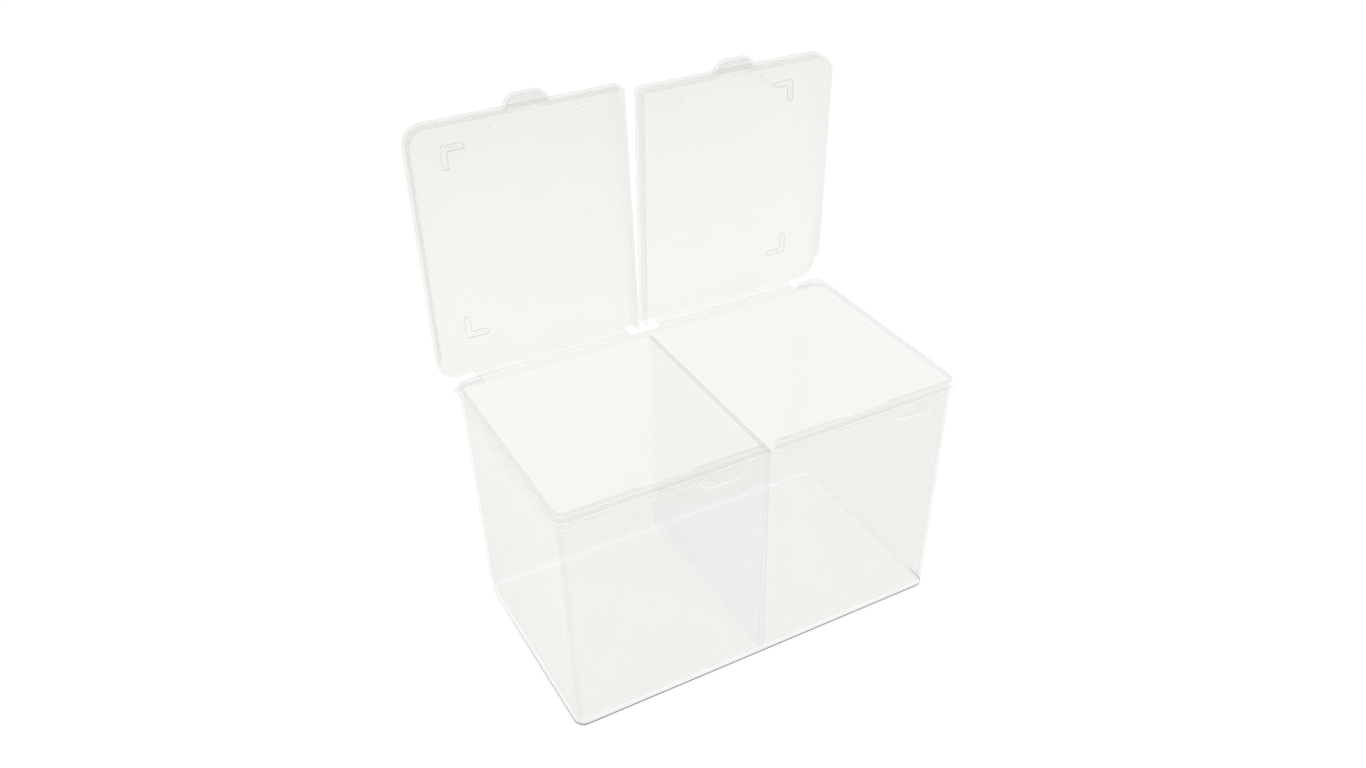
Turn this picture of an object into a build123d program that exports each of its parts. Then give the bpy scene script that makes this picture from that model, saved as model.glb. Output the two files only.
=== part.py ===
"""A two-compartment storage box with two flip lids, each on its own living hinge.

Millimetres. +X runs along the box, +Y to the hinge side, +Z up. The origin is the centre of the underside.
Each lid is drawn in its own plane, turned about its hinge line to the angle at which it stands open.
"""

import math
import os

from build123d import *

os.makedirs("parts", exist_ok=True)

# Tub
BASE = (193.8, 108.6)  # outside of the foot, X by Y
RIM = (200.0, 112.0)  # outside of the wall under the ledge, and of the lip above it
CORNER = 5.2  # outside radius of the upright corners
WALL = 1.3
FLOOR = 1.6
LEDGE_TOP = 120.2
LEDGE_THICK = 1.3
LEDGE_OUT = 3.25  # how far the ledge stands out from the wall
LIP_HEIGHT = 4.2
FOOT_ROUND = 0.3  # outside edge of the underside
FLOOR_ROUND = 1.8  # inside edge of the floor

# Divider
DIVIDER_TOP = 119.4
DIVIDER_THICK_TOP = 1.8
DIVIDER_THICK_FOOT = 3.0

# Living hinge
HINGE_Y = 62.2
HINGE_Z = 120.0
FILM_HALF = 0.8  # half the width of the thin film, across the hinge line
FILM_THICK = 0.4
STRAP_INNER = 8.5  # the hinge runs along X from here ...
STRAP_OUTER = 87.0  # ... to here, on each side of the middle

# Lids, measured from the hinge line: "reach" runs to the front, "rise" from the ledge to the panel
LID_OPEN = {"left": 93.0, "right": 88.2}  # degrees
LID_SIDE = 104.0
LID_GAP_SIDE = 1.6
LID_REACH = 122.5
LID_RISE = 8.2
LID_FOOT = 0.6  # free edge of the skirt, above the hinge line when closed
LID_BACK = -0.2
PANEL = 1.25
TOP_ROUND = 0.8
SKIRT = 1.3
LID_OUTER_ROUND = 9.4
LID_INNER_ROUND = 1.8
SKIRT_START = 10.2  # the outer side skirt is full depth from this far in front of the hinge ...
SKIRT_START_FOOT = 14.2  # ... and from this far at its free edge
BACK_RIM_RISE = 5.0  # behind that only a shallow rim is left, down to this rise

# Latch, tabs and lugs
LATCH_X = 49.0
TAB_WIDTH = 21.0
TAB_OUT = 7.1
TAB_THICK = 1.3
TAB_TURN_DOWN = 2.0
TAB_ROUND = 6.0
LUG_OFFSET = 22.0  # each lug stands this far to the right of its lid's tab
LUG_OUT = 5.3
SLOT = (12.0, 1.8)  # window in the skirt, X by height
SLOT_RISE = 3.0
BEAD = (11.0, 1.0, 1.4)
DIP_WIDTH = 16.5  # the lip is lower in front of each latch
DIP = 1.2
DIP_SLOPE = 6.0  # length of the slope at each end of a dip
FIN_X = (22.0, 66.5)
FIN = (2.4, 1.2)
FIN_REACH = 116.5
FIN_DEPTH = -2.6  # end of the fins, below the hinge line when the lid is closed
LIP_NOTCH = 6.4  # opening in the front lip for the two inner skirts

# Corner marks on the lids
MARK_X = 87.2
MARK_REACH = (16.0, 109.8)
MARK_ARM = 11.0
MARK_WIDTH = 2.8
MARK_RAISE = 0.9
MARK_GROOVE = (1.6, 0.7)


def outside(z):
    """Outer size of the tapered tub at height z."""
    share = z / LEDGE_TOP
    return [foot + (rim - foot) * share for foot, rim in zip(BASE, RIM)]


def inside(z):
    """Inner size of the tapered tub at height z."""
    return [size - 2 * WALL for size in outside(z)]


def at_latches():
    """The two places along X where a lid latches."""
    return [-LATCH_X, LATCH_X]


inner_corner = CORNER - WALL
ledge_size = [size + 2 * LEDGE_OUT for size in RIM]
lip_top = LEDGE_TOP + LIP_HEIGHT
front = -RIM[1] / 2  # outer face of the front lip

# --- Cavity of the tub, used only as a cutter --------------------------------------------------
with BuildPart(mode=Mode.PRIVATE) as cavity:
    with BuildSketch(Plane.XY.offset(FLOOR)):
        RectangleRounded(*inside(FLOOR), inner_corner)
    with BuildSketch(Plane.XY.offset(LEDGE_TOP)):
        RectangleRounded(*inside(LEDGE_TOP), inner_corner)
    loft()
    fillet(cavity.faces().sort_by(Axis.Z)[0].edges(), FLOOR_ROUND)
    with BuildSketch(Plane.XY.offset(LEDGE_TOP)):
        RectangleRounded(*inside(LEDGE_TOP), inner_corner)
    extrude(amount=LIP_HEIGHT + 1)

# --- Tub: floor, walls, ledge, lip, lugs and hinge ledges, moulded in one -----------------------
with BuildPart() as tub:
    with BuildSketch(Plane.XY):
        RectangleRounded(*BASE, CORNER)
    with BuildSketch(Plane.XY.offset(LEDGE_TOP)):
        RectangleRounded(*RIM, CORNER)
    loft()
    fillet(tub.faces().sort_by(Axis.Z)[0].edges(), FOOT_ROUND)
    # the lip that the lids close over
    with BuildSketch(Plane.XY.offset(LEDGE_TOP)):
        RectangleRounded(*RIM, CORNER)
    extrude(amount=LIP_HEIGHT)
    # the ledge that the skirts stand on
    with BuildSketch(Plane.XY.offset(LEDGE_TOP - LEDGE_THICK)) as ledge:
        RectangleRounded(*ledge_size, CORNER + LEDGE_OUT)
        # it runs out further behind each lid, to the hinge film
        for side in (-1, 1):
            with Locations((side * (STRAP_INNER + STRAP_OUTER) / 2, (HINGE_Y - FILM_HALF) / 2)):
                Rectangle(STRAP_OUTER - STRAP_INNER, HINGE_Y - FILM_HALF)
    extrude(amount=LEDGE_THICK)
    # a lug beside each tab, to press against when the lid is pulled up
    with BuildSketch(Plane.XY.offset(LEDGE_TOP - LEDGE_THICK)) as lugs:
        for x in at_latches():
            with Locations((x + LUG_OFFSET, -ledge_size[1] / 2)):
                RectangleRounded(TAB_WIDTH, 2 * LUG_OUT, LUG_OUT - 0.2)
    extrude(amount=LEDGE_THICK)
    add(cavity.part, mode=Mode.SUBTRACT)
    # there is no lip along the back, where the lids' straps and inner skirts come down
    with BuildSketch(Plane.XY.offset(LEDGE_TOP)):
        with Locations((0, RIM[1] / 2)):
            Rectangle(2 * STRAP_OUTER, 8 * WALL)
    extrude(amount=LIP_HEIGHT, mode=Mode.SUBTRACT)
    # the inner skirts of the two lids pass through one notch at the front
    with BuildSketch(Plane.XY.offset(LEDGE_TOP)):
        with Locations((0, front)):
            Rectangle(LIP_NOTCH, 4 * WALL)
    extrude(amount=LIP_HEIGHT, mode=Mode.SUBTRACT)
    # the lip dips at each latch
    for x in at_latches():
        with BuildSketch(Plane.XZ.offset(-front - 2 * WALL)):
            with BuildLine():
                Polyline(
                    (x - DIP_WIDTH / 2, lip_top - DIP),
                    (x + DIP_WIDTH / 2, lip_top - DIP),
                    (x + DIP_WIDTH / 2 + DIP_SLOPE, lip_top),
                    (x - DIP_WIDTH / 2 - DIP_SLOPE, lip_top),
                    close=True,
                )
            make_face()
        extrude(amount=4 * WALL, mode=Mode.SUBTRACT)
    # a small bead on the lip under each dip, opposite the window in the skirt
    for x in at_latches():
        with BuildSketch(Plane.YZ.offset(x - BEAD[0] / 2)):
            with BuildLine():
                Polyline(
                    (front + WALL / 2, LEDGE_TOP + 0.8),
                    (front, LEDGE_TOP + 0.8),
                    (front - BEAD[1], LEDGE_TOP + 0.8 + BEAD[2] / 3),
                    (front, LEDGE_TOP + 0.8 + BEAD[2]),
                    (front + WALL / 2, LEDGE_TOP + 0.8 + BEAD[2]),
                    close=True,
                )
            make_face()
        extrude(amount=BEAD[0])
tub.part.label = "tub"
export_step(tub.part, "parts/tub.step")

# --- Divider: one drafted web across the middle, from the floor to just under the ledge ---------
with BuildPart() as divider:
    with BuildSketch(Plane.XZ.offset(-RIM[1] / 2)):
        with BuildLine():
            Polyline(
                (-DIVIDER_THICK_FOOT / 2, FLOOR / 2),
                (DIVIDER_THICK_FOOT / 2, FLOOR / 2),
                (DIVIDER_THICK_TOP / 2, DIVIDER_TOP),
                (-DIVIDER_THICK_TOP / 2, DIVIDER_TOP),
                close=True,
            )
        make_face()
    extrude(amount=RIM[1])
    add(cavity.part, mode=Mode.INTERSECT)
divider.part.label = "divider"
export_step(divider.part, "parts/divider.step")


def lid_plane(open_angle, rise):
    """Plane parallel to a lid's panel, rise above its hinge line. Its local Y runs back from the front."""
    turn = Plane(origin=(0, HINGE_Y, HINGE_Z)).rotated((-open_angle, 0, 0))
    return turn.offset(rise)


def lid_point(open_angle, reach, rise):
    """(Y, Z) of the point of a lid at this reach and rise."""
    point = lid_plane(open_angle, rise).from_local_coords((0, -reach, 0))
    return point.Y, point.Z


def lid_outline(side, inset=0.0):
    """Plan of one lid, shrunk by inset, with wide outer corners and tight inner ones."""
    low, high = sorted((side * LID_GAP_SIDE, side * LID_SIDE))
    with BuildSketch(mode=Mode.PRIVATE) as plan:
        with Locations(((low + high) / 2, -(LID_REACH + LID_BACK) / 2)):
            Rectangle(high - low - 2 * inset, LID_REACH - LID_BACK - 2 * inset)
        outer = plan.vertices().filter_by_position(Axis.X, side * LID_SIDE - 5, side * LID_SIDE + 5)
        fillet(outer, LID_OUTER_ROUND - inset)
        inner = plan.vertices().filter_by_position(Axis.X, -5, 5)
        fillet(inner, LID_INNER_ROUND - inset)
    return plan.sketch


def tab_outline(latch, begin, inset=0.0):
    """Plan of the part of a finger tab that lies more than begin in front of the skirt."""
    width = TAB_WIDTH - 2 * inset
    with BuildSketch(mode=Mode.PRIVATE) as plan:
        with Locations((latch, -LID_REACH)):
            RectangleRounded(width, 2 * (TAB_OUT - inset), TAB_ROUND - inset)
        with Locations((latch, -LID_REACH - begin + TAB_OUT)):
            Rectangle(width, 2 * TAB_OUT, mode=Mode.SUBTRACT)
    return plan.sketch


def corner_mark(side, reach, turn, width, arm):
    """Plan of one L-shaped mark; its corner points to an outer corner of the lid."""
    corner_x = side * (MARK_X - MARK_WIDTH / 2)
    corner_y = -reach + turn * MARK_WIDTH / 2
    tip = (corner_x + side * width / 2, corner_y - turn * width / 2)
    with BuildSketch(mode=Mode.PRIVATE) as plan:
        for size in ((arm, width), (width, arm)):
            across = corner_x - side * (size[0] - width) / 2
            along = corner_y + turn * (size[1] - width) / 2
            with Locations((across, along)):
                Rectangle(*size)
        fillet(plan.vertices().sort_by_distance(tip)[2:], 0.42 * width)
        fillet(plan.vertices().sort_by_distance(tip)[1], 0.35 * width)
        fillet(plan.vertices().sort_by_distance(tip)[0], 0.55 * width)
    return plan.sketch


def build_lid(side, open_angle):
    """One lid: panel, skirt, strap to the hinge, finger tab, two locating fins and two corner marks."""
    middle = side * (STRAP_INNER + STRAP_OUTER) / 2
    latch = side * LATCH_X
    facing = lid_plane(open_angle, 0).z_dir
    with BuildPart() as lid:
        with BuildSketch(lid_plane(open_angle, LID_FOOT)):
            add(lid_outline(side))
        extrude(amount=LID_RISE - LID_FOOT)
        outer_face = lid.faces().sort_by(Axis((0, 0, 0), facing))[-1]
        fillet(outer_face.edges(), TOP_ROUND)
        with BuildSketch(lid_plane(open_angle, LID_FOOT)):
            add(lid_outline(side, SKIRT))
        extrude(amount=LID_RISE - PANEL - LID_FOOT, mode=Mode.SUBTRACT)
        # at the outer rear corner the skirt slopes up to a shallow rim, which clears the lip of the tub
        with BuildSketch(Plane.YZ.offset(STRAP_OUTER if side > 0 else -LID_SIDE - 1)):
            with BuildLine():
                Polyline(
                    lid_point(open_angle, SKIRT_START_FOOT, LID_FOOT - 1),
                    lid_point(open_angle, SKIRT_START, BACK_RIM_RISE),
                    lid_point(open_angle, -2, BACK_RIM_RISE),
                    lid_point(open_angle, -2, LID_FOOT - 1),
                    close=True,
                )
            make_face()
        extrude(amount=LID_SIDE + 1 - STRAP_OUTER, mode=Mode.SUBTRACT)
        # between the inner skirt and the strap the back is open below the panel
        with BuildSketch(lid_plane(open_angle, LID_FOOT)):
            with Locations((side * (LID_GAP_SIDE + SKIRT + STRAP_OUTER) / 2, 0)):
                Rectangle(STRAP_OUTER - LID_GAP_SIDE - SKIRT, 2 * SKIRT)
        extrude(amount=LID_RISE - PANEL - LID_FOOT, mode=Mode.SUBTRACT)
        # the strap closes the back and ends at the hinge film
        with BuildSketch(lid_plane(open_angle, FILM_HALF)):
            with Locations((middle, -LID_BACK - SKIRT / 2)):
                Rectangle(STRAP_OUTER - STRAP_INNER, SKIRT)
        extrude(amount=LID_RISE - PANEL / 2 - FILM_HALF)
        # finger tab with a turned-down edge, which clears the ledge in front
        with BuildSketch(lid_plane(open_angle, LID_FOOT)):
            add(tab_outline(latch, -SKIRT / 2))
        extrude(amount=TAB_THICK)
        with BuildSketch(lid_plane(open_angle, LID_FOOT - TAB_TURN_DOWN)):
            add(tab_outline(latch, 0.4))
            add(tab_outline(latch, 0.4, SKIRT), mode=Mode.SUBTRACT)
        extrude(amount=TAB_TURN_DOWN)
        # window in the front skirt for the bead on the lip
        with BuildSketch(lid_plane(open_angle, SLOT_RISE - SLOT[1] / 2)):
            with Locations((latch, -LID_REACH + SKIRT / 2)):
                Rectangle(SLOT[0], 3 * SKIRT)
        extrude(amount=SLOT[1], mode=Mode.SUBTRACT)
        # fins that slide down inside the front lip
        with BuildSketch(lid_plane(open_angle, FIN_DEPTH)):
            for x in FIN_X:
                with Locations((side * x, -FIN_REACH + FIN[1] / 2)):
                    Rectangle(*FIN)
        extrude(amount=LID_RISE - PANEL / 2 - FIN_DEPTH)
        # corner marks, raised outside and grooved inside
        for reach, turn in ((MARK_REACH[1], 1), (MARK_REACH[0], -1)):
            with BuildSketch(lid_plane(open_angle, LID_RISE - PANEL / 2)):
                add(corner_mark(side, reach, turn, MARK_WIDTH, MARK_ARM))
            extrude(amount=PANEL / 2 + MARK_RAISE)
            with BuildSketch(lid_plane(open_angle, LID_RISE - PANEL - 0.1)):
                inset = (MARK_WIDTH - MARK_GROOVE[0]) / 2
                add(corner_mark(side, reach, turn, MARK_GROOVE[0], MARK_ARM - 2 * inset))
            extrude(amount=MARK_GROOVE[1] + 0.1, mode=Mode.SUBTRACT)
    return lid


def build_film(side, open_angle):
    """The thin film from the ledge to one lid's strap, mitred along the hinge line."""
    half = FILM_THICK / 2
    lean = half * math.cos(math.radians(open_angle)) / (1 + math.sin(math.radians(open_angle)))
    with BuildPart() as film:
        with BuildSketch(Plane.YZ.offset(STRAP_INNER if side > 0 else -STRAP_OUTER)):
            with BuildLine():
                Polyline(
                    (HINGE_Y - FILM_HALF, HINGE_Z - half),
                    (HINGE_Y + lean, HINGE_Z - half),
                    lid_point(open_angle, -half, FILM_HALF),
                    lid_point(open_angle, half, FILM_HALF),
                    (HINGE_Y - lean, HINGE_Z + half),
                    (HINGE_Y - FILM_HALF, HINGE_Z + half),
                    close=True,
                )
            make_face()
        extrude(amount=STRAP_OUTER - STRAP_INNER)
    return film


# --- Lids and their hinge films ----------------------------------------------------------------
for hand, side in (("left", -1), ("right", 1)):
    lid = build_lid(side, LID_OPEN[hand])
    lid.part.label = f"{hand}_lid"
    export_step(lid.part, f"parts/{hand}_lid.step")
    film = build_film(side, LID_OPEN[hand])
    film.part.label = f"{hand}_hinge_film"
    export_step(film.part, f"parts/{hand}_hinge_film.step")
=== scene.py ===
import math

import bpy
from mathutils import Matrix, Vector


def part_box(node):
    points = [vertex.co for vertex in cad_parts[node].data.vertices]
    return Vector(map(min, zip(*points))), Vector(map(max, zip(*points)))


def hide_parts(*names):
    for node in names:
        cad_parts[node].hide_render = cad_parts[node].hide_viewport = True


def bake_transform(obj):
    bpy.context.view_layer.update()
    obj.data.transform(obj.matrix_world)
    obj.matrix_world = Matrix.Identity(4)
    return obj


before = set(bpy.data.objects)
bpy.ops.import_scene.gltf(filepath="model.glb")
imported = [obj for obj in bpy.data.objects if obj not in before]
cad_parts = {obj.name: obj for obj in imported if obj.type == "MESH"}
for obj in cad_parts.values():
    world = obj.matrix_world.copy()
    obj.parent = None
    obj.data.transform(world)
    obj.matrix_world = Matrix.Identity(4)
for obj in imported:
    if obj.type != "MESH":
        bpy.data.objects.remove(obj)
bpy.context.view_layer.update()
scene = bpy.context.scene

MILLIMETRES = 1000  # in a metre


# --- Node helpers ------------------------------------------------------------------------------
def new_material(name):
    mat = bpy.data.materials.new(name)
    mat.use_nodes = True
    mat.node_tree.nodes.clear()
    return mat, mat.node_tree


def feed(tree, socket, value):
    """Gives a socket a number or a colour, or links another node's output to it."""
    if isinstance(value, bpy.types.NodeSocket):
        tree.links.new(value, socket)
    else:
        socket.default_value = value


def node(tree, kind, **sockets):
    """A node of this kind. Each named input is fed, and _0, _1 and so on name an input by its number."""
    made = tree.nodes.new(kind)
    for key, value in sockets.items():
        by_number = key[0] == "_" and key[1:].isdigit()
        feed(tree, made.inputs[int(key[1:]) if by_number else key.replace("_", " ")], value)
    return made


def math_node(tree, operation, a, b=0.0, clamp=False):
    made = node(tree, "ShaderNodeMath", _0=a, _1=b)
    made.operation = operation
    made.use_clamp = clamp
    return made.outputs[0]


def dot_product(tree, a, b):
    made = node(tree, "ShaderNodeVectorMath", _0=a, _1=b)
    made.operation = "DOT_PRODUCT"
    return made.outputs["Value"]


def mix_colour(tree, factor, a, b):
    made = tree.nodes.new("ShaderNodeMix")
    made.data_type = "RGBA"
    for socket, value in ((made.inputs["Factor"], factor), (made.inputs[6], a), (made.inputs[7], b)):
        feed(tree, socket, value)
    return made.outputs[2]


def ramp(tree, value, low, high):
    """0 at low, 1 at high, with a soft start and end. high may be the smaller."""
    made = node(tree, "ShaderNodeMapRange", Value=value)
    made.interpolation_type = "SMOOTHSTEP"
    made.inputs["From Min"].default_value = low
    made.inputs["From Max"].default_value = high
    return made.outputs[0]


def band(tree, value, low, high, soft):
    """1 between low and high, fading to 0 within soft of them."""
    begin = ramp(tree, value, low - soft, low + soft)
    return math_node(tree, "MULTIPLY", begin, ramp(tree, value, high + soft, high - soft))


def along(tree, place, direction, start=(0, 0, 0)):
    """Millimetres along a direction from a start point, both in the part's own frame in millimetres."""
    way = dot_product(tree, place, tuple(MILLIMETRES * part for part in direction))
    return math_node(tree, "SUBTRACT", way, Vector(start).dot(Vector(direction)))


def both(tree, *masks):
    """Where all of these masks meet."""
    met = masks[0]
    for mask in masks[1:]:
        met = math_node(tree, "MULTIPLY", met, mask)
    return met


def either(tree, *masks):
    """Where any of these masks is."""
    met = masks[0]
    for mask in masks[1:]:
        met = math_node(tree, "MAXIMUM", met, mask)
    return met


def opposite(tree, mask):
    return math_node(tree, "SUBTRACT", 1.0, mask)


def square(tree, value):
    return math_node(tree, "MULTIPLY", value, value)


# --- The plastic -------------------------------------------------------------------------------
CLOUD_SCALE = 38.0  # soft clouds in the plastic, and its fine surface grain
GRAIN_SCALE = 900.0
CLOUD_DARKENING = 0.96  # colour in the thick of a cloud, as a share of the body colour
CLOUD_COLOUR_SHARE = 0.35
CLOUD_COVER = (0.88, 0.24)  # cover outside the clouds, and how much they add
EDGE_REACH = 0.0003
EDGE_SAMPLES = 8
EDGE_GAIN = 4.5
BEND_SHARE = 0.45  # one over the square of the refractive index
GLANCING_POWER = 7.0
GLANCING_COVER = 0.35
ROUGHNESS = (0.26, 0.08)  # outside the clouds, and how much they add
GRAIN_STRENGTH = 0.12
GRAIN_DEPTH = 0.00004


def polypropylene(name, body, cover, line, line_cover, details):
    """Milky moulded plastic. body is its colour on the flat, and line its colour along edges and at a slant.
    cover is how much one surface met head on hides of what is behind it. details(tree, place, normal) lists
    (mask, extra cover, colour or None) for the zones that look different."""
    mat, tree = new_material(name)
    coordinates = tree.nodes.new("ShaderNodeTexCoord")
    place, normal = coordinates.outputs["Object"], coordinates.outputs["Normal"]
    clouds = node(tree, "ShaderNodeTexNoise", Vector=place, Scale=CLOUD_SCALE, Detail=3.0, Roughness=0.55)
    grain = node(tree, "ShaderNodeTexNoise", Vector=place, Scale=GRAIN_SCALE, Detail=2.0, Roughness=0.5)
    cloud = clouds.outputs["Fac"]

    # along an edge the light runs through more plastic, which shows as a darker, cooler line
    true_normal = node(tree, "ShaderNodeNewGeometry").outputs["Normal"]
    round_normal = node(tree, "ShaderNodeBevel", Radius=EDGE_REACH)
    round_normal.samples = EDGE_SAMPLES
    bend = opposite(tree, dot_product(tree, round_normal.outputs[0], true_normal))
    edge_mask = math_node(tree, "MULTIPLY", bend, EDGE_GAIN, clamp=True)

    # a slanting view goes through more plastic, though bending inwards keeps the way through short
    facing = node(tree, "ShaderNodeLayerWeight", Blend=0.5).outputs["Facing"]
    sine_squared = opposite(tree, square(tree, opposite(tree, facing)))
    cosine_squared = opposite(tree, math_node(tree, "MULTIPLY", sine_squared, BEND_SHARE))
    left = math_node(tree, "POWER", 1.0 - cover, math_node(tree, "POWER", cosine_squared, -0.5))
    flat_cover = math_node(tree, "SUBTRACT", 1.0, left, clamp=True)
    least, added = CLOUD_COVER
    mottle = math_node(tree, "ADD", least, math_node(tree, "MULTIPLY", cloud, added))
    glancing = math_node(tree, "POWER", facing, GLANCING_POWER)

    darker = [CLOUD_DARKENING * part for part in body[:3]] + [1.0]
    colour = mix_colour(tree, math_node(tree, "MULTIPLY", cloud, CLOUD_COLOUR_SHARE), body, darker)
    colour = mix_colour(tree, glancing, colour, line)
    colour = mix_colour(tree, edge_mask, colour, line)
    whole = math_node(tree, "MULTIPLY", flat_cover, mottle)
    zones = [(glancing, GLANCING_COVER, None), (edge_mask, line_cover, None)]
    for mask, extra, tint in zones + details(tree, place, normal):
        whole = math_node(tree, "ADD", whole, math_node(tree, "MULTIPLY", mask, extra))
        if tint:
            colour = mix_colour(tree, mask, colour, tint)
    whole = math_node(tree, "MULTIPLY", whole, 1.0, clamp=True)

    least, added = ROUGHNESS
    roughness = math_node(tree, "ADD", least, math_node(tree, "MULTIPLY", cloud, added))
    bump = node(
        tree, "ShaderNodeBump", Strength=GRAIN_STRENGTH, Distance=GRAIN_DEPTH, Height=grain.outputs["Fac"]
    )
    plastic = node(
        tree, "ShaderNodeBsdfPrincipled", Base_Color=colour, Roughness=roughness, Normal=bump.outputs[0]
    )
    plastic.inputs["IOR"].default_value = 1.49
    plastic.inputs["Coat Weight"].default_value = 0.3
    plastic.inputs["Coat Roughness"].default_value = 0.2
    clear = node(tree, "ShaderNodeBsdfTransparent")
    mixed = node(tree, "ShaderNodeMixShader", Fac=whole, _1=clear.outputs[0], _2=plastic.outputs[0])
    node(tree, "ShaderNodeOutputMaterial", Surface=mixed.outputs[0])
    return mat


# --- Where the plastic looks different, in millimetres in the part's frame -----------------------
CREAM = (0.652, 0.676, 0.54, 1)
STRAW = (0.652, 0.672, 0.46, 1)
HONEY = (0.648, 0.674, 0.44, 1)
MILK = (0.634, 0.666, 0.640, 1)
TAB = (0.57, 0.60, 0.55, 1)
PEARL = (0.64, 0.66, 0.58, 1)
PALE = (0.82, 0.83, 0.78, 1)
COOL = (0.57, 0.59, 0.63, 1)
# painted shade colour for lines along the lip's foot and the divider's top, the sides of the lid marks, and
# the left foot
PAINTED_SHADE = (0.42, 0.44, 0.43, 1)
# painted shadow colour for the line where the foot stands on the table
CONTACT_SHADOW = (0.10, 0.11, 0.11, 1)
# painted light colour for highlights on the lugs, the ledge's edge, the tops of the lid marks, the fins and
# the hinge film, and round the latch window
PAINTED_LIGHT = (0.97, 0.97, 0.94, 1)
# painted blue cast of light on the divider, whose plastic is of one colour
PAINTED_BLUE_CAST = (0.55, 0.65, 0.95, 1)

WALL_X, WALL_Y = 100.0, 56.0  # outside of the wall just under the ledge
LEDGE = (118.7, 120.25)  # heights between which the ledge lies
LIP_FOOT = 120.2
LUG_Y = -59.4  # the lugs lie in front of this
CONTACT_SHADOW_LEAST = 0.07  # strength of the painted contact shadow on the foot at the back and on the right
CORNER_GAIN = 4.0  # makes the corner mask 1 where the surface faces halfway between two walls
HINGE_LINE = (0, 62.2, 120.0)
PANEL_INSIDE, PANEL_OUTSIDE = 6.9, 8.2  # rise just below the inside of a lid's panel, and of its outside
SKIRT_FOOT = 0.6  # rise of the free edge of a lid's skirt
SKIRT_INSIDE = 120.9  # reach just behind the inside of the front skirt
TAB_FROM = 122.6  # reach from which the finger tab begins


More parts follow.
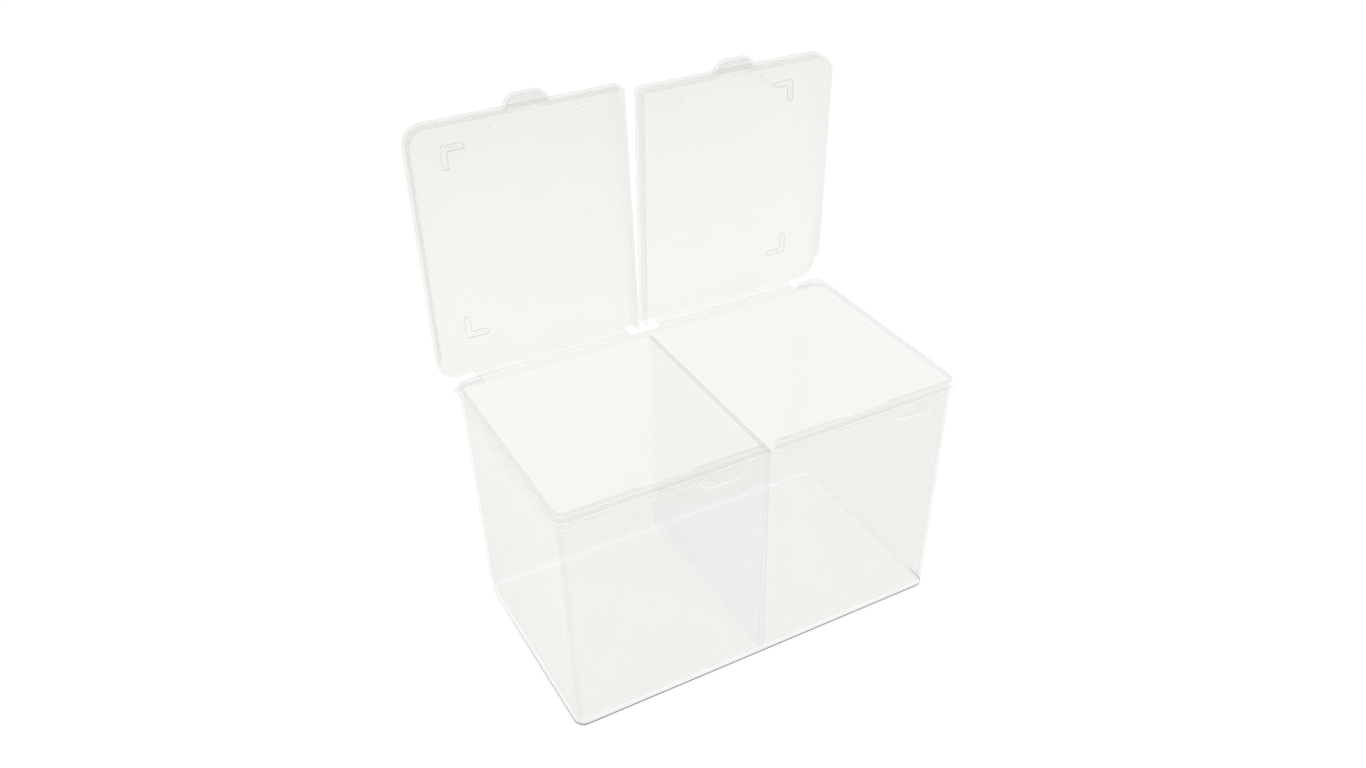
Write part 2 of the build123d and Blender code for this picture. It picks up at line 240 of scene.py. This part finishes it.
def tub_details(tree, place, normal):
    across = along(tree, place, (1, 0, 0))
    depth = along(tree, place, (0, 1, 0))
    height = along(tree, place, (0, 0, 1))
    parts = node(tree, "ShaderNodeSeparateXYZ", Vector=normal).outputs
    facing = node(tree, "ShaderNodeLayerWeight", Blend=0.5).outputs["Facing"]

    # which way a surface faces: up or down, out of the box or into it, along the box, or between two walls
    level = square(tree, parts[2])
    upright = ramp(tree, level, 0.9, 0.5)
    along_x = math_node(tree, "MULTIPLY", parts[0], across)
    outward = math_node(tree, "ADD", along_x, math_node(tree, "MULTIPLY", parts[1], depth))
    inner = ramp(tree, outward, -2, -10)
    outer = opposite(tree, inner)
    end_wall = ramp(tree, square(tree, parts[0]), 0.6, 0.95)
    between = both(tree, square(tree, parts[0]), square(tree, parts[1]))
    corner = both(tree, math_node(tree, "MULTIPLY", between, CORNER_GAIN), ramp(tree, height, 119, 117))

    # where it is
    left_end = both(tree, end_wall, ramp(tree, across, 50, -50), ramp(tree, height, 119.2, 118.7))
    warm = both(
        tree,
        ramp(tree, depth, -53, -46),
        opposite(tree, both(tree, end_wall, ramp(tree, across, 10, -10))),
    )
    past_front = ramp(tree, math_node(tree, "ABSOLUTE", depth), WALL_Y + 0.1, WALL_Y + 0.4)
    past_end = ramp(tree, math_node(tree, "ABSOLUTE", across), WALL_X + 0.1, WALL_X + 0.4)
    not_back = ramp(tree, depth, WALL_Y + 1, WALL_Y - 1)
    ledge = band(tree, height, *LEDGE, 0.1)
    open_ledge = both(tree, either(tree, past_front, past_end), not_back)
    near_front = ramp(tree, depth, -35, -53)
    near_left = both(tree, ramp(tree, across, -80, -95), ramp(tree, depth, 90, -55))
    near = either(tree, near_front, near_left)
    contact_shadow = either(tree, near, CONTACT_SHADOW_LEAST)
    shaded_foot_left = both(tree, upright, outer, near_left)
    return [
        # painted tone where light falls differently on even plastic: creamier and milkier towards the hinge,
        # and clearer on the left end and in the floor
        (warm, 0.02, STRAW),
        (left_end, -0.04, None),
        (both(tree, left_end, ramp(tree, height, 10, 110)), -0.05, None),
        (end_wall, -0.008, None),
        (both(tree, ramp(tree, level, 0.8, 0.95), ramp(tree, height, 5, 3)), -0.042, STRAW),
        # the rounded edge round the floor, and the upright corners
        (both(tree, inner, band(tree, height, 1.75, 3.6, 0.15)), 0.10, PALE),
        (both(tree, corner, ramp(tree, depth, 20, -20)), 0.018, TAB),
        # seen edge on, a corner of the wall is milky all the way through
        (both(tree, corner, outer, ramp(tree, facing, 0.3, 0.5)), 0.06, None),
        # the rounded edge along the back is fainter
        (both(tree, ramp(tree, depth, 50.0, 51.0), ramp(tree, height, 4.2, 3.6)), -0.055, None),
        # painted shade on the foot, strongest at the front and on the left, and darkest in a painted contact
        # shadow where it stands on the table
        (both(tree, upright, outer, near, band(tree, height, 0.0, 2.2, 0.4)), 0.19, None),
        (both(tree, shaded_foot_left, band(tree, height, 0.9, 3.2, 0.4)), 0.03, PAINTED_SHADE),
        (both(tree, upright, contact_shadow, ramp(tree, height, 1.05, 0.75)), 0.75, CONTACT_SHADOW),
        (both(tree, shaded_foot_left, ramp(tree, height, 1.7, 1.3), ramp(tree, depth, -53, -47)), 0.3, CONTACT_SHADOW),
        # the ledge is clear on top, except along the back, and painted highlights lie on the lugs and along
        # the ledge's outer edge
        (both(tree, open_ledge, ledge), -0.10, COOL),
        (both(tree, ledge, ramp(tree, depth, LUG_Y, LUG_Y - 0.3)), 0.42, PAINTED_LIGHT),
        (both(tree, ledge, ramp(tree, depth, WALL_Y + 0.1, WALL_Y + 0.4)), 0.02, CREAM),
        (both(tree, ledge, ramp(tree, depth, 60.7, 61.1)), -0.05, PALE),
        (both(tree, open_ledge, upright, band(tree, height, 118.9, 120.1, 0.15)), 0.2, PAINTED_LIGHT),
        # the lip, with a painted shade line along its foot, and a line along its top
        (both(tree, upright, outer, not_back, band(tree, height, LIP_FOOT, 120.9, 0.15)), 0.16, PAINTED_SHADE),
        (ramp(tree, height, 120.8, 121.0), -0.01, COOL),
        (ramp(tree, height, 123.9, 124.1), 0.04, COOL),
    ]


def divider_details(tree, place, normal):
    height = along(tree, place, (0, 0, 1))
    depth = along(tree, place, (0, 1, 0))
    slanting = along(tree, place, (0, 0.7, 1))
    return [
        # a painted blue cast of light in its lower front half and down its front edge, and a painted shade
        # line along the top
        (ramp(tree, slanting, 75, 40), 0.0, PAINTED_BLUE_CAST),
        (ramp(tree, depth, -51.5, -53.0), 0.08, PAINTED_BLUE_CAST),
        (ramp(tree, height, 118.6, 119.1), 0.17, PAINTED_SHADE),
    ]


def lid_details(open_angle, inner_skirt, mark_shade):
    """The zones of a lid that stands open at this angle. reach runs from the hinge line to the front, and
    rise from the hinge line to the panel. inner_skirt and mark_shade are extra cover for those two zones."""
    turn = math.radians(open_angle)
    forward = (0, -math.cos(turn), math.sin(turn))
    outward = (0, math.sin(turn), math.cos(turn))

    def details(tree, place, normal):
        reach = along(tree, place, forward, HINGE_LINE)
        rise = along(tree, place, outward, HINGE_LINE)
        across = math_node(tree, "ABSOLUTE", along(tree, place, (1, 0, 0)))
        on_lid = ramp(tree, reach, TAB_FROM + 0.2, TAB_FROM)
        panel = ramp(tree, rise, PANEL_INSIDE, 7.0)
        skirt = both(tree, on_lid, band(tree, rise, 1.0, PANEL_INSIDE, 0.3))
        front_skirt = ramp(tree, reach, SKIRT_INSIDE, SKIRT_INSIDE + 0.2)
        strap = ramp(tree, reach, 1.4, 1.2)
        tab = ramp(tree, reach, TAB_FROM, 123.0)
        raised = ramp(tree, rise, PANEL_OUTSIDE + 0.05, PANEL_OUTSIDE + 0.15)
        fins = both(tree, band(tree, reach, 115.2, 116.6, 0.1), band(tree, across, 15, 80, 1))
        window = both(tree, band(tree, rise, SKIRT_FOOT, 4.4, 0.2), band(tree, across, 42, 56, 0.5))
        across_panel = dot_product(tree, normal, outward)
        side_on = ramp(tree, square(tree, across_panel), 0.7, 0.3)
        return [
            # the panel, milkier towards the front
            (both(tree, panel, ramp(tree, reach, 10, 80)), 0.045, None),
            (both(tree, panel, ramp(tree, reach, 65, 125)), 0.07, None),
            (both(tree, panel, ramp(tree, reach, 130, 30)), 0.0, HONEY),
            # the front, inner and outer skirts, the strap, and a line along the skirts' free edge
            (both(tree, skirt, front_skirt), -0.07, COOL),
            (both(tree, skirt, ramp(tree, across, 5, 4)), inner_skirt, PEARL),
            (both(tree, skirt, ramp(tree, across, 99, 102)), 0.045, PEARL),
            (both(tree, strap, ramp(tree, rise, PANEL_INSIDE, 6.7)), -0.022, CREAM),
            (both(tree, strap, ramp(tree, rise, 1.4, 1.1)), -0.04, PALE),
            (both(tree, on_lid, ramp(tree, reach, 6, 14), band(tree, rise, 0.5, 1.2, 0.15)), 0.03, COOL),
            # painted highlights on the tops of the raised corner marks, and painted shade on their sides
            (ramp(tree, rise, 8.9, 9.0), 0.06, PAINTED_LIGHT),
            (both(tree, raised, side_on), mark_shade, PAINTED_SHADE),
            # painted light round the window for the latch
            (both(tree, on_lid, front_skirt, window), 0.14, PAINTED_LIGHT),
            # the finger tab, clearer in its turned-down edge and on its sides
            (tab, 0.12, TAB),
            (both(tree, tab, ramp(tree, rise, SKIRT_FOOT, 0.5)), -0.10, None),
            (both(tree, tab, side_on), -0.12, PALE),
            # the fins, with a painted highlight
            (both(tree, fins, ramp(tree, rise, PANEL_INSIDE, 6.6)), 0.18, PAINTED_LIGHT),
        ]

    return details


def film_details(tree, place, normal):
    # a painted highlight along the middle of the film
    return [(band(tree, along(tree, place, (0, 1, 0)), 61.9, 62.5, 0.2), 0.2, PAINTED_LIGHT)]


LEFT_ANGLE, RIGHT_ANGLE = 93.0, 88.2  # how far each lid stands open
left_zones = lid_details(LEFT_ANGLE, 0.055, 0.3)
right_zones = lid_details(RIGHT_ANGLE, -0.05, 0.16)
tub_plastic = polypropylene("tub_polypropylene", MILK, 0.09, COOL, 0.18, tub_details)
divider_plastic = polypropylene("divider_polypropylene", MILK, 0.035, COOL, 0.15, divider_details)
film_plastic = polypropylene("film_polypropylene", CREAM, 0.10, COOL, 0.02, film_details)
for name, mat in (
    ("tub", tub_plastic),
    ("divider", divider_plastic),
    ("left_lid", polypropylene("left_lid_polypropylene", CREAM, 0.125, COOL, 0.11, left_zones)),
    ("right_lid", polypropylene("right_lid_polypropylene", CREAM, 0.113, COOL, 0.11, right_zones)),
):
    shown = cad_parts[name]
    shown.data.materials.clear()
    shown.data.materials.append(mat)

# --- Hinge films, divided finely so that they bend with the lids --------------------------------
HINGE = (0.0622, 0.12)
FILM_HALF = 0.0008
FILM_THICK = 0.0004
FILM_STEPS = 16
for hand, open_angle in (("left", LEFT_ANGLE), ("right", RIGHT_ANGLE)):
    low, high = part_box(f"{hand}_hinge_film")
    turn = math.radians(open_angle)
    rows = []
    for step in range(FILM_STEPS + 1):
        past = 2 * FILM_HALF * step / FILM_STEPS - FILM_HALF
        lean = (1.0, 0.0) if past < 0 else (math.sin(turn), math.cos(turn))
        rows.append((HINGE[0] + past * lean[0], HINGE[1] + past * lean[1], lean))
    points = []
    for x in (low.x, high.x):
        for half in (FILM_THICK / 2, -FILM_THICK / 2):
            points += [(x, y - half * lean[1], z + half * lean[0]) for y, z, lean in rows]
    size = FILM_STEPS + 1
    faces = []
    for step in range(FILM_STEPS):
        left_top, left_under, right_top, right_under = (corner * size + step for corner in range(4))
        faces.append((left_top, right_top, right_top + 1, left_top + 1))
        faces.append((left_under, left_under + 1, right_under + 1, right_under))
        faces.append((left_under, left_top, left_top + 1, left_under + 1))
        faces.append((right_under, right_under + 1, right_top + 1, right_top))
    faces.append((0, size, 3 * size, 2 * size))
    faces.append((FILM_STEPS, 2 * size + FILM_STEPS, 3 * size + FILM_STEPS, size + FILM_STEPS))
    mesh = bpy.data.meshes.new(f"{hand}_film")
    mesh.from_pydata(points, [], faces)
    mesh.materials.append(film_plastic)
    film = bpy.data.objects.new(f"{hand}_film", mesh)
    scene.collection.objects.link(film)
    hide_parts(f"{hand}_hinge_film")
    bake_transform(film)

# --- Stage: a pale table that glows a little, as under soft light from all round ----------------
mat, tree = new_material("pale_table")
table_top = node(tree, "ShaderNodeBsdfPrincipled", Base_Color=(0.2, 0.2, 0.2, 1), Roughness=0.9)
table_top.inputs["Specular IOR Level"].default_value = 0.0
table_top.inputs["Emission Color"].default_value = (1, 1, 1, 1)
table_top.inputs["Emission Strength"].default_value = 0.84
node(tree, "ShaderNodeOutputMaterial", Surface=table_top.outputs[0])
FLOOR_HALF = 6.0
FLOOR_DROP = 0.0001  # keeps the table's surface just under the foot
floor_corners = [(x * FLOOR_HALF, y * FLOOR_HALF, 0) for x, y in ((-1, -1), (1, -1), (1, 1), (-1, 1))]
floor_mesh = bpy.data.meshes.new("floor")
floor_mesh.from_pydata(floor_corners, [], [(0, 1, 2, 3)])
floor = bpy.data.objects.new("floor", floor_mesh)
floor.location.z = -FLOOR_DROP
floor_mesh.materials.append(mat)
scene.collection.objects.link(floor)

world = bpy.data.worlds.new("studio")
world.use_nodes = True
tree = world.node_tree
tree.nodes.clear()
# the backdrop is white, and the light from it is a little softer than it looks
seen = node(tree, "ShaderNodeLightPath").outputs["Is Camera Ray"]
strength = math_node(tree, "ADD", 0.9, math_node(tree, "MULTIPLY", seen, 0.1))
backdrop = node(tree, "ShaderNodeBackground", Color=(1, 1, 1, 1), Strength=strength)
node(tree, "ShaderNodeOutputWorld", Surface=backdrop.outputs[0])
scene.world = world

KEY_PLACE = Vector((-0.9, -0.5, 1.3))
KEY_AIM = Vector((0, 0, 0.1))
light = bpy.data.lights.new("key_light", "AREA")
light.shape = "RECTANGLE"
light.size = 0.8
light.size_y = 0.8
light.energy = 1.5
lamp = bpy.data.objects.new("key_light", light)
lamp.location = KEY_PLACE
lamp.rotation_euler = (KEY_AIM - KEY_PLACE).to_track_quat("-Z", "Y").to_euler()
scene.collection.objects.link(lamp)

scene.view_settings.view_transform = "Standard"
scene.view_settings.look = "None"
# a line of sight can cross many surfaces of clear plastic
scene.cycles.transparent_max_bounces = 48
scene.cycles.max_bounces = 10

# --- Camera, at the angle from which the box was seen -------------------------------------------
AZIMUTH, ELEVATION, ROLL = math.radians(28.39), math.radians(33.40), math.radians(-0.87)
ahead = Vector(
    (math.sin(AZIMUTH) * math.cos(ELEVATION), math.cos(AZIMUTH) * math.cos(ELEVATION), -math.sin(ELEVATION))
)
right = ahead.cross(Vector((0, 0, 1))).normalized()
up = right.cross(ahead)
right_rolled = math.cos(ROLL) * right + math.sin(ROLL) * up
up_rolled = -math.sin(ROLL) * right + math.cos(ROLL) * up
turned = Matrix((right_rolled, up_rolled, -ahead)).transposed().to_4x4()
camera = bpy.data.objects.new("camera", bpy.data.cameras.new("camera"))
camera.data.lens = 33.109
camera.data.sensor_width = 36.0
camera.matrix_world = Matrix.Translation((-0.237445, -0.417664, 0.439418)) @ turned
scene.collection.objects.link(camera)
scene.camera = camera
